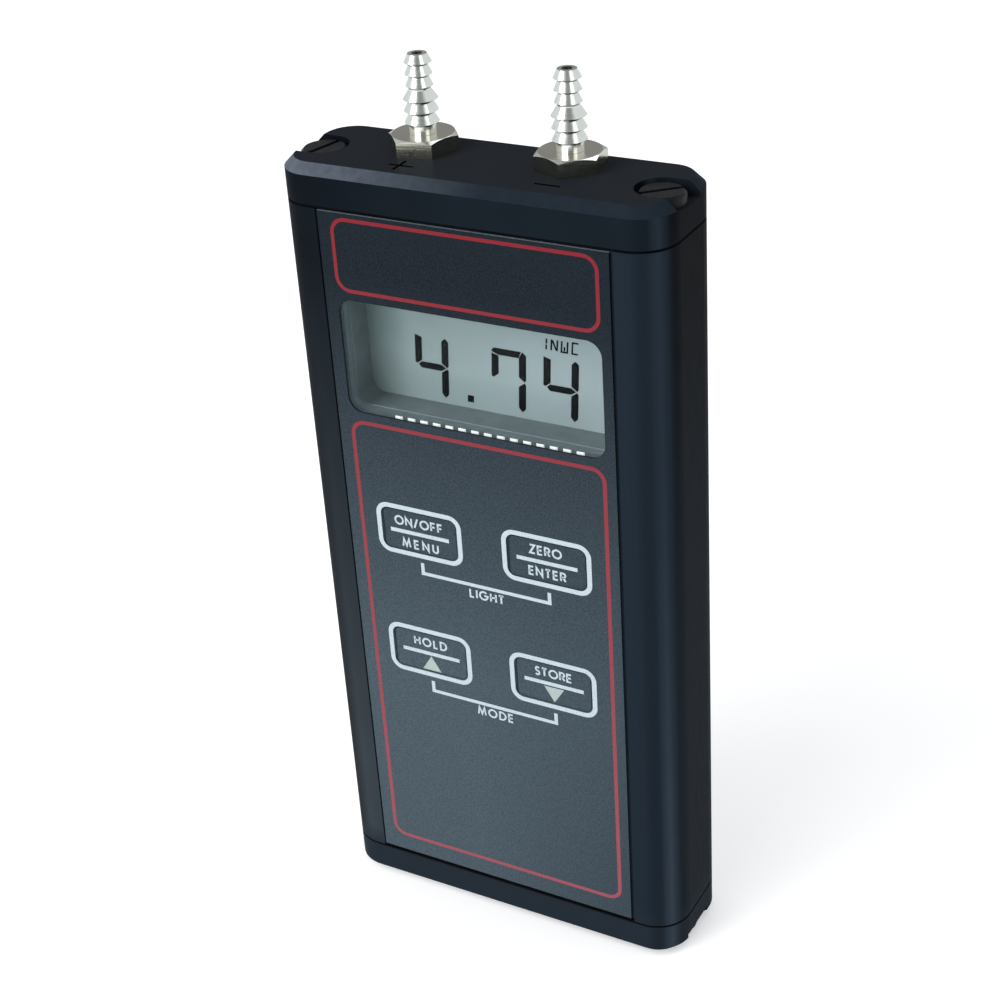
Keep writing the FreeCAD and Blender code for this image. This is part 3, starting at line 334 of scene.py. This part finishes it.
def pads():
    """Bright solder pads; their painted glow stands in for the light from above through the window."""
    shader = Shader("tinned_metal", rgb("f2f5f4"), 0.35)
    sheen = shader.span(shader.noise(0.6, 2.0), 0.3, 0.7)
    color = shader.mix(sheen, rgb("f6f9f8"), rgb("dfe6e5"))
    shader.set("Base Color", color)
    # Painted glow: emission that stands in for light through the window
    shader.set("Emission Color", color)
    shader.set("Emission Strength", PAINTED_GLOW)
    return shader.material


def board():
    """Grey board; its edge round the display has a painted glow, paler low down, for the light the clear
    plate carries.
    """
    shader = Shader("board_mask", rgb("5a676a"), 0.4)
    tone = shader.span(shader.noise(2.0, 3.0), 0.35, 0.7)
    shader.set("Base Color", shader.mix(tone, rgb("5a676a"), rgb("4e5a5d")))
    # Painted glow, paler low down, for the light the clear plate carries
    low = shader.along("Z", 114, 109)
    shader.set("Emission Color", shader.mix(low, rgb("3c484e"), rgb("4d585e")))
    shader.set("Emission Strength", PAINTED_GLOW)
    return shader.material


def holder():
    """Pale moulded walls of the display's well, with a painted highlight on the rim at their front."""
    shader = Shader("holder_moulding", rgb("778589"), 0.5)
    tone = shader.span(shader.noise(3.0, 3.0), 0.35, 0.7)
    walls = shader.mix(tone, rgb("778589"), rgb("6b787c"))
    # Painted highlight on the rim at the front of the walls
    rim = shader.math("LESS_THAN", shader.axis("Y"), LIT_RIM_FACE * MM)
    shader.set("Base Color", shader.mix(rim, walls, rgb("84949a")))
    shader.bump(shader.noise(0.5, 2.0), 0.02, 0.5)
    return shader.material


def plain(name, code, other_code, roughness, size=0.8, depth=0.02, **settings):
    """A moulded or painted surface with a small change of tone and a fine texture."""
    shader = Shader(name, rgb(code), roughness, **settings)
    tone = shader.span(shader.noise(size * 6, 3.0), 0.35, 0.7)
    shader.set("Base Color", shader.mix(tone, rgb(code), rgb(other_code)))
    fine = shader.noise(size, 2.0)
    shader.set("Roughness", shader.span(fine, 0.3, 0.7, roughness - 0.05, roughness + 0.06))
    shader.bump(fine, depth, 0.5)
    return shader.material


MATERIALS = {
    "case_body": anodised("case_anodised", ("0a0e12", "1c252e"), ("0c0d10", "1a2026"), (0.6, 0.6, 30)),
    "top_cap": anodised(
        "cap_anodised", ("0a0e13", "131a21"), ("0d0e12", "15191e"), (1, 1, 1), ("5b626d", "1f272f")
    ),
    "top_gasket": plain("gasket_rubber", "060708", "0b0c0e", 0.7, Specular_IOR_Level=BLACK_GLOSS),
    "front_film": printed_film(),
    "display_window": clear_window(),
    "circuit_board": board(),
    "display_holder": holder(),
    "display_glass": display_face(),
    "backlight": plain("diffuser_sheet", "dfe0da", "d3d6d0", 0.5),
    "display_pins": pads(),
    "high_pressure_port": plated("nickel_plate", "e2e6e0", "d2ccc0", "b0b2a4", "4a4b52"),
    "high_pressure_tube": plain("silicone_tube", "d9dad5", "c8cac4", 0.45),
    "pressure_sensor": plain("sensor_moulding", "202124", "2a2b2f", 0.5),
    "battery": plain("battery_jacket", "3a3b3f", "323338", 0.35),
    "battery_snap": plain("snap_vinyl", "17181a", "1f2022", 0.5),
    "red_battery_lead": plain("red_insulation", "a01e1c", "8d1917", 0.45),
    "battery_foam": plain("foam_block", "2b2c2e", "36373a", 0.9, 0.5, 0.2),
    "processor_chip": plain("chip_moulding", "1a1b1d", "232427", 0.55),
    "clock_crystal": plain("crystal_can", "c6c8ca", "b3b6b8", 0.3, Metallic=1.0),
    "filter_capacitors": plain("capacitor_sleeve", "22263f", "1c2036", 0.35),
    "upper_left_switch": plain("switch_moulding", "1c1d1f", "252628", 0.5),
    "upper_left_plunger": plain("plunger_moulding", "b9bab5", "a9aaa5", 0.5),
    "top_left_screw": plain("screw_blackened", "0c0e11", "171a1e", 0.4, 0.4, Specular_IOR_Level=0.1),
}
SAME_AS = {
    "bottom_cap": "top_cap",
    "bottom_gasket": "top_gasket",
    "high_pressure_seal": "top_gasket",
    "low_pressure_seal": "top_gasket",
    "low_pressure_port": "high_pressure_port",
    "low_pressure_tube": "high_pressure_tube",
    "black_battery_lead": "battery_snap",
    "amplifier_chip": "processor_chip",
}
for corner in ("upper_right", "lower_left", "lower_right"):
    SAME_AS[f"{corner}_switch"] = "upper_left_switch"
    SAME_AS[f"{corner}_plunger"] = "upper_left_plunger"
for corner in ("top_right", "bottom_left", "bottom_right"):
    SAME_AS[f"{corner}_screw"] = "top_left_screw"
for name, item in frame["nodes"].items():
    item.data.materials.clear()
    item.data.materials.append(MATERIALS[SAME_AS.get(name, name)])


def add_object(name, data):
    """Make an object and link it to the scene."""
    item = bpy.data.objects.new(name, data)
    bpy.context.scene.collection.objects.link(item)
    return item


# Flat printed shapes: closed plates that stand PROUD of their plane

def plate(mesh, points, face):
    """Add a closed plate to a bmesh: its outline in X and Z, its back on the plane."""
    back = [mesh.verts.new((x * MM, face * MM, z * MM)) for x, z in points]
    front = [mesh.verts.new((x * MM, (face - PROUD) * MM, z * MM)) for x, z in points]
    mesh.faces.new(front)
    mesh.faces.new(list(reversed(back)))
    for index in range(len(points)):
        following = (index + 1) % len(points)
        mesh.faces.new((front[index], back[index], back[following], front[following]))


def band(mesh, outer, inner, face):
    """Add a closed ring between two outlines with equal numbers of points."""
    loops = []
    front = face - PROUD
    for outline, plane in ((outer, face), (outer, front), (inner, front), (inner, face)):
        loops.append([mesh.verts.new((x * MM, plane * MM, z * MM)) for x, z in outline])
    for first, second in zip(loops, loops[1:] + loops[:1]):
        for index in range(len(first)):
            following = (index + 1) % len(first)
            mesh.faces.new((first[index], first[following], second[following], second[index]))


def arc(x, z, radius_x, radius_z, start, end, steps=8):
    """Points on an ellipse from one angle to another, in degrees."""
    angles = [math.radians(start + (end - start) * step / steps) for step in range(steps + 1)]
    return [(x + radius_x * math.cos(angle), z + radius_z * math.sin(angle)) for angle in angles]


def rounded(left, right, low, high, radius):
    """The outline of a rectangle with round corners."""
    points = arc(right - radius, high - radius, radius, radius, 90, 0)
    points += arc(right - radius, low + radius, radius, radius, 0, -90)
    points += arc(left + radius, low + radius, radius, radius, -90, -180)
    points += arc(left + radius, high - radius, radius, radius, 180, 90)
    return points


def ribbon(mesh, points, width, face):
    """Add a stroke of even width along a run of points, mitred at its corners."""
    closed = points[0] == points[-1]
    line = [Vector(point) for point in (points[:-1] if closed else points)]
    count = len(line)
    sides = ([], [])
    for index, point in enumerate(line):
        before = line[index - 1] if closed or index else None
        after = line[(index + 1) % count] if closed or index < count - 1 else None
        into = (point - before).normalized() if before is not None else None
        out = (after - point).normalized() if after is not None else None
        into = into or out
        out = out or into
        tangent = (into + out).normalized()
        normal = Vector((-tangent.y, tangent.x))
        reach = width / 2 / max(0.35, normal.dot(Vector((-into.y, into.x))))
        sides[0].append(tuple(point + normal * reach))
        sides[1].append(tuple(point - normal * reach))
    if closed:
        band(mesh, sides[0], sides[1], face)
    else:
        plate(mesh, sides[0] + sides[1][::-1], face)


def finish_piece(mesh, name, material, body="case"):
    """Turn a bmesh into an object that rides on the case."""
    bmesh.ops.recalc_face_normals(mesh, faces=mesh.faces)
    data = bpy.data.meshes.new(name)
    mesh.to_mesh(data)
    mesh.free()
    data.materials.append(material)
    piece = add_object(name, data)
    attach(piece, body)


# Stroke letters, on a cap height of one: each has its width and its runs of points

LETTERS = {
    "D": (0.74, [[(0, 0), (0, 1), (0.24, 1)] + arc(0.24, 0.5, 0.5, 0.5, 80, -80, 12) + [(0.24, 0), (0, 0)]]),
    "E": (0.5, [[(0.5, 1), (0, 1), (0, 0), (0.5, 0)], [(0, 0.52), (0.46, 0.52)]]),
    "F": (0.5, [[(0.5, 1), (0, 1), (0, 0)], [(0, 0.5), (0.45, 0.5)]]),
    "G": (1.0, [arc(0.5, 0.5, 0.5, 0.5, 45, 360, 18) + [(0.56, 0.5)]]),
    "H": (0.64, [[(0, 0), (0, 1)], [(0, 0.52), (0.64, 0.52)], [(0.64, 0), (0.64, 1)]]),
    "I": (0.0, [[(0, 0), (0, 1)]]),
    "L": (0.44, [[(0, 1), (0, 0), (0.44, 0)]]),
    "M": (0.94, [[(0, 0), (0.14, 1), (0.47, 0.1), (0.8, 1), (0.94, 0)]]),
    "N": (0.7, [[(0, 0), (0, 1), (0.7, 0), (0.7, 1)]]),
    "O": (1.0, [arc(0.5, 0.5, 0.5, 0.5, 0, 360, 24)]),
    "R": (0.56, [
        [(0, 0), (0, 1), (0.27, 1)] + arc(0.27, 0.73, 0.27, 0.27, 80, -80, 8) + [(0.27, 0.46), (0, 0.46)],
        [(0.24, 0.46), (0.56, 0)],
    ]),
    "S": (0.5, [arc(0.27, 0.755, 0.21, 0.245, 30, 250, 9) + arc(0.25, 0.26, 0.25, 0.26, 62, -150, 10)]),
    "T": (0.58, [[(0, 1), (0.58, 1)], [(0.29, 1), (0.29, 0)]]),
    "U": (0.62, [[(0, 1)] + arc(0.31, 0.31, 0.31, 0.31, 180, 360, 12) + [(0.62, 1)]]),
    "Z": (0.6, [[(0.02, 1), (0.58, 1), (0, 0), (0.6, 0)]]),
    "/": (0.42, [[(0, -0.08), (0.42, 1.08)]]),
}


def word(mesh, text, left, right, low, high, stroke, face):
    """Write a word between two ends, its strokes centred inside its own height."""
    widths = [LETTERS[letter][0] for letter in text]
    cap = high - low - stroke
    room = right - left - stroke
    gap = (room - sum(widths) * cap) / (len(text) - 1)
    x = left + stroke / 2
    for letter, width in zip(text, widths):
        for run in LETTERS[letter][1]:
            points = [(x + px * cap, low + stroke / 2 + pz * cap) for px, pz in run]
            ribbon(mesh, points, stroke, face)
        x += width * cap + gap


# Print on the film. Boxes are given by their left, right, low and high edges.

RED = red_ink()
WHITE = ink_and_painted_shade("white_ink", "b6c2c9", "98a5ad")
GREY = ink_and_painted_shade("grey_ink", "a3aeab", "8c9998")

# Each red box has its own width of line
RED_BOXES = (
    (-26.0, 26.0, 133.3, 147.4, 0.7),
    (-26.05, 26.05, 11.6, 107.95, 0.78),
)
RED_RADIUS = 3.0

KEYS = (
    (-22.4, -4.2, 80.9, 91.6),
    (4.2, 22.4, 80.9, 91.6),
    (-22.4, -4.2, 54.1, 65.0),
    (4.2, 22.4, 54.1, 65.0),
)
KEY_RADIUS = 2.6
KEY_LINE = 0.95

# A painted shadow line along the sides and top of a key's recess, set in from the left, right, low and high
# edges
KEY_SHADOW_INSETS = (1.35, -1.2, 1.5, -1.2)
KEY_SHADOW_RADIUS = 1.2
KEY_SHADOW_LINE = 0.26

LEGEND_BARS = (
    (-19.65, -7.1, 85.5, 86.3),
    (7.1, 19.45, 85.6, 86.4),
    (-19.45, -6.95, 58.9, 59.7),
    (7.15, 19.55, 59.05, 59.85),
)
LEGENDS = (
    ("ON/OFF", -18.65, -8.25, 87.15, 89.2),
    ("MENU", -17.4, -9.45, 82.5, 84.55),
    ("ZERO", 9.75, 16.45, 87.35, 89.4),
    ("ENTER", 9.4, 17.15, 82.75, 84.8),
    ("HOLD", -16.85, -9.5, 60.7, 62.75),
    ("STORE", 9.4, 17.25, 60.75, 62.8),
)
STROKE = 0.38

# Brackets that join two keys: their upper and lower ends, and the word under each
BRACKETS = (
    (79.9, 77.65, ("LIGHT", -3.4, 4.05, 74.8, 76.85)),
    (53.1, 50.85, ("MODE", -3.6, 4.3, 48.05, 50.1)),
)
BRACKET_LEFT = -13.2
BRACKET_RIGHT = 13.55
BRACKET_LINE = 0.72

ARROWS = (
    ((-15.35, 55.45), (-11.25, 55.45), (-13.25, 58.7)),
    ((11.25, 58.75), (15.45, 58.75), (13.35, 55.5)),
)


def box_line(mesh, left, right, low, high, radius, line):
    """Add the printed line of a box; its radius is that of the line's outer side."""
    outer = rounded(left, right, low, high, radius)
    inner = rounded(left + line, right - line, low + line, high - line, radius - line)
    band(mesh, outer, inner, FILM_FACE)


boxes = bmesh.new()
for left, right, low, high, line in RED_BOXES:
    box_line(boxes, left, right, low, high, RED_RADIUS, line)
finish_piece(boxes, "red_outlines", RED)

frames = bmesh.new()
for key in KEYS:
    box_line(frames, *key, KEY_RADIUS, KEY_LINE)
finish_piece(frames, "key_frames", WHITE)

# Painted shadow lines inside the key recesses
edges = bmesh.new()
for key in KEYS:
    left, right, low, high = [edge + inset for edge, inset in zip(key, KEY_SHADOW_INSETS)]
    top = high - KEY_SHADOW_RADIUS
    run = [(left, low), (left, top)]
    run += arc(left + KEY_SHADOW_RADIUS, top, KEY_SHADOW_RADIUS, KEY_SHADOW_RADIUS, 180, 90)[1:]
    run += arc(right - KEY_SHADOW_RADIUS, top, KEY_SHADOW_RADIUS, KEY_SHADOW_RADIUS, 90, 0)
    run += [(right, low)]
    ribbon(edges, run, KEY_SHADOW_LINE, KEY_FLOOR)
finish_piece(edges, "key_edge_shadows", ink_and_painted_shade("key_edge_shade", "1f272d", "2a3339", 0.6))

legends = bmesh.new()
for left, right, low, high in LEGEND_BARS:
    plate(legends, [(left, low), (right, low), (right, high), (left, high)], KEY_FLOOR)
for legend in LEGENDS:
    word(legends, *legend, STROKE, KEY_FLOOR)
finish_piece(legends, "key_legends", WHITE)

brackets = bmesh.new()
for high, low, _ in BRACKETS:
    run = [(BRACKET_LEFT, high), (BRACKET_LEFT, low), (BRACKET_RIGHT, low), (BRACKET_RIGHT, high)]
    ribbon(brackets, run, BRACKET_LINE, FILM_FACE)
for _, _, legend in BRACKETS:
    word(brackets, *legend, STROKE, FILM_FACE)
finish_piece(brackets, "key_brackets", WHITE)

arrows = bmesh.new()
for corners in ARROWS:
    plate(arrows, corners, KEY_FLOOR)
finish_piece(arrows, "key_arrows", GREY)


# Display figures: seven-segment digits that lean to the right, on the glass.
# Each bar is an outline in a digit's own millimetres, from its lower left corner.

DIGIT_WIDTH = 7.0
DIGIT_HEIGHT = 12.0
DIGIT_LOW = 110.4
DIGIT_LEAN = 0.06
BAR = 1.45


def digit_bars():
    """The outlines of the bars, before they lean."""
    wide, high, bar, middle = DIGIT_WIDTH, DIGIT_HEIGHT, BAR, DIGIT_HEIGHT / 2
    inner = wide - bar
    return {
        "top": [
            (0, high - 0.45), (0.5, high), (inner + 0.4, high), (inner - 0.05, high - 1.3),
            (1.3, high - 1.3), (0.1, high - 0.8),
        ],
        "upper right": [
            (inner + 0.65, high), (wide, high - 0.7), (wide, middle + 0.5), (wide - 0.3, middle + 0.1),
            (inner, middle + 0.95), (inner, high - 1.2),
        ],
        "lower right": [
            (wide - 0.3, middle - 0.1), (wide, middle - 0.5), (wide, 0.75), (wide - 0.7, 0),
            (inner, 0.85), (inner, middle - 0.95),
        ],
        "upper left": [
            (0, high - 1.05), (bar, high - 1.5), (bar, middle + 0.95), (0.4, middle + 0.15),
            (0, middle + 0.4),
        ],
        "tall left": [
            (0, high), (bar, high - 0.45), (bar, middle + 0.95), (0.4, middle + 0.15),
            (0, middle + 0.4),
        ],
        "tall right": [
            (wide - 0.7, high), (wide, high - 0.7), (wide, middle + 0.5), (wide - 0.3, middle + 0.1),
            (inner, middle + 0.95), (inner, high - 0.7),
        ],
        "middle": [
            (0.7, middle + 0.05), (1.35, middle + 0.65), (inner - 0.05, middle + 0.65), (wide - 0.5, middle),
            (inner - 0.05, middle - 0.65), (1.35, middle - 0.65),
        ],
    }


FIGURES = {
    "4": ("tall left", "tall right", "lower right", "middle"),
    "7": ("top", "upper left", "upper right", "lower right"),
}
BARS = digit_bars()

# The number on the display: each figure and its left edge, and the decimal point
DIGITS = (("4", -17.4), ("7", -1.5), ("4", 8.95))
POINT = ((-6.5, 110.5), (-5.2, 110.5), (-5.1, 111.85), (-6.4, 111.85))

# The unit's letters are made of bars too: left edge, and runs in a box one wide and high
UNIT_LETTERS = (
    (10.25, [[(0, 1), (0, 0.55)], [(0, 0.45), (0, 0)]]),
    (11.25, [[(0, 0), (0, 1)], [(0.12, 0.95), (0.88, 0.05)], [(1, 1), (1, 0)]]),
    (13.25, [[(0, 1), (0, 0), (1, 0), (1, 1)], [(0.5, 0.5), (0.5, 0.1)]]),
    (15.35, [[(1, 1), (0, 1), (0, 0), (1, 0)]]),
)
UNIT_WIDTH = 1.15
UNIT_HEIGHT = 2.1
UNIT_LOW = 123.8
UNIT_LEAN = 0.2
UNIT_STROKE = 0.33

figures = bmesh.new()
for figure, left in DIGITS:
    for name in FIGURES[figure]:
        points = [(left + x + z * DIGIT_LEAN, DIGIT_LOW + z) for x, z in BARS[name]]
        plate(figures, points, GLASS_FACE)
plate(figures, POINT, GLASS_FACE)
for left, runs in UNIT_LETTERS:
    for run in runs:
        points = [(left + x * UNIT_WIDTH + z * UNIT_LEAN, UNIT_LOW + z * UNIT_HEIGHT) for x, z in run]
        ribbon(figures, points, UNIT_STROKE, GLASS_FACE)
DISPLAY_BLACK = ink_and_painted_shade("display_black", "0c0e10", "121517", 0.3)
finish_piece(figures, "display_figures", DISPLAY_BLACK)


# Port signs on the cap: a plus and a minus, in fine dark lines, by their ends in X and Y

SIGN_LINES = (
    ((-16.1, -6.2), (-11.3, -6.2)),
    ((-14.0, -8.4), (-14.0, -3.9)),
    ((12.1, -6.3), (16.9, -6.3)),
)
SIGN_WIDTH = 0.5


def sign_line(mesh, start, end, width):
    """A thin bar that lies on the cap's top face."""
    first, last = Vector(start), Vector(end)
    along = (last - first).normalized()
    across = Vector((-along.y, along.x)) * width / 2
    corners = [first + across, last + across, last - across, first - across]
    low = [mesh.verts.new((point.x * MM, point.y * MM, CAP_TOP * MM)) for point in corners]
    high = [mesh.verts.new((point.x * MM, point.y * MM, (CAP_TOP + PROUD) * MM)) for point in corners]
    mesh.faces.new(high)
    mesh.faces.new(list(reversed(low)))
    for index in range(4):
        following = (index + 1) % 4
        mesh.faces.new((low[index], low[following], high[following], high[index]))


signs = bmesh.new()
for start, end in SIGN_LINES:
    sign_line(signs, start, end, SIGN_WIDTH)
SIGN_BLACK = plain("sign_black", "020203", "050506", 0.8, Specular_IOR_Level=0.0)
finish_piece(signs, "port_signs", SIGN_BLACK)


# Stage: pale floor, soft light

FLOOR_REACH = 6.0
FLOOR_GLOW = 0.35

# Colours of the room and of the pale panel on each side, and the panels' direction
ROOM_DIM = (0.3, 0.305, 0.31)
ROOM_PANEL = (0.82, 0.85, 0.87)
PANEL_SIDE = (0.863, 0.505, 0.0)

# Each lamp's name, its place and target in metres, its size and its watts
LAMPS = (
    ("front_lamp", (-0.35, -1.1, 0.4), (0, 0, 0.09), (0.9, 0.7), 8),
    ("key_lamp", (-0.5, -0.7, 0.9), (0, 0, 0.09), (0.6, 0.6), 4.5),
    ("fill_lamp", (0.9, -0.35, 0.6), (0, 0, 0.09), (0.5, 0.5), 1),
    ("top_lamp", (0.0, 0.5, 0.9), (0, 0, 0.1), (0.8, 0.5), 1.5),
)

# The fitted camera: its place in millimetres, its axes and its focal length in pixels
CAMERA_PLACE = (159.13, -275.62, 268.66)
CAMERA_RIGHT = (0.87774, 0.47549, -0.05901)
CAMERA_DOWN = (0.18784, -0.45479, -0.87056)
CAMERA_FORWARD = (-0.44078, 0.75305, -0.4885)
FOCAL_PIXELS = 1956.4
PHOTO_PIXELS = 1000
SENSOR_WIDTH = 36.0


def floor():
    """A pale floor; its glow shows to the camera, in reflections and through the window."""
    mesh = bmesh.new()
    sides = ((-1, -1), (1, -1), (1, 1), (-1, 1))
    mesh.faces.new([mesh.verts.new((x * FLOOR_REACH, y * FLOOR_REACH, 0)) for x, y in sides])
    data = bpy.data.meshes.new("floor")
    mesh.to_mesh(data)
    mesh.free()
    shader = Shader("floor_paper", (0.86, 0.86, 0.86), 0.9)
    path = shader.node("ShaderNodeLightPath")
    seen = shader.math("MAXIMUM", path.outputs["Is Camera Ray"], path.outputs["Is Glossy Ray"])
    seen = shader.math("MAXIMUM", seen, path.outputs["Is Transmission Ray"])
    glow = shader.node("ShaderNodeEmission")
    shader.feed(glow.inputs["Strength"], FLOOR_GLOW)
    plus = shader.node("ShaderNodeAddShader")
    shader.feed(plus.inputs[0], shader.bsdf.outputs["BSDF"])
    shader.feed(plus.inputs[1], glow.outputs["Emission"])
    pick = shader.node("ShaderNodeMixShader")
    shader.feed(pick.inputs["Fac"], seen)
    shader.feed(pick.inputs[1], shader.bsdf.outputs["BSDF"])
    shader.feed(pick.inputs[2], plus.outputs["Shader"])
    shader.feed(shader.tree.nodes["Material Output"].inputs["Surface"], pick.outputs["Shader"])
    data.materials.append(shader.material)
    item = add_object("floor", data)


def lamp(name, place, target, size, power):
    """A rectangular lamp turned towards its target."""
    data = bpy.data.lights.new(name, "AREA")
    data.shape = "RECTANGLE"
    data.size, data.size_y = size
    data.energy = power
    item = add_object(name, data)
    item.location = place
    item.rotation_euler = (Vector(target) - Vector(place)).to_track_quat("-Z", "Y").to_euler()


def world():
    """A dim room with a tall pale panel on each side of the view."""
    room = bpy.data.worlds.new("studio")
    room.use_nodes = True
    tree = room.node_tree
    back = tree.nodes["Background"]
    place = tree.nodes.new("ShaderNodeTexCoord")
    side = tree.nodes.new("ShaderNodeVectorMath")
    side.operation = "DOT_PRODUCT"
    side.inputs[1].default_value = PANEL_SIDE
    tree.links.new(place.outputs["Generated"], side.inputs[0])
    away = tree.nodes.new("ShaderNodeMath")
    away.operation = "ABSOLUTE"
    tree.links.new(side.outputs["Value"], away.inputs[0])
    share = tree.nodes.new("ShaderNodeMapRange")
    for socket, number in (("From Min", 0.2), ("From Max", 0.6), ("To Min", 0.0), ("To Max", 1.0)):
        share.inputs[socket].default_value = number
    tree.links.new(away.outputs["Value"], share.inputs["Value"])
    mix = tree.nodes.new("ShaderNodeMix")
    mix.data_type = "RGBA"
    colors = [socket for socket in mix.inputs if socket.type == "RGBA"]
    colors[0].default_value = (*ROOM_DIM, 1.0)
    colors[1].default_value = (*ROOM_PANEL, 1.0)
    tree.links.new(share.outputs["Result"], mix.inputs["Factor"])
    mixed = next(socket for socket in mix.outputs if socket.type == "RGBA")
    tree.links.new(mixed, back.inputs["Color"])
    back.inputs["Strength"].default_value = 1.0
    bpy.context.scene.world = room


def camera():
    """Pinhole camera fitted to the photograph."""
    data = bpy.data.cameras.new("camera")
    data.sensor_width = SENSOR_WIDTH
    data.lens = FOCAL_PIXELS * SENSOR_WIDTH / PHOTO_PIXELS
    data.clip_start = 0.01
    item = add_object("camera", data)
    axes = (Vector(CAMERA_RIGHT), -Vector(CAMERA_DOWN), -Vector(CAMERA_FORWARD))
    turn = Matrix(axes).transposed().to_4x4()
    item.matrix_world = Matrix.Translation(Vector(CAMERA_PLACE) * MM) @ turn
    bpy.context.scene.camera = item


floor()
world()
camera()
for settings in LAMPS:
    lamp(*settings)
bpy.context.scene.view_settings.view_transform = "Standard"
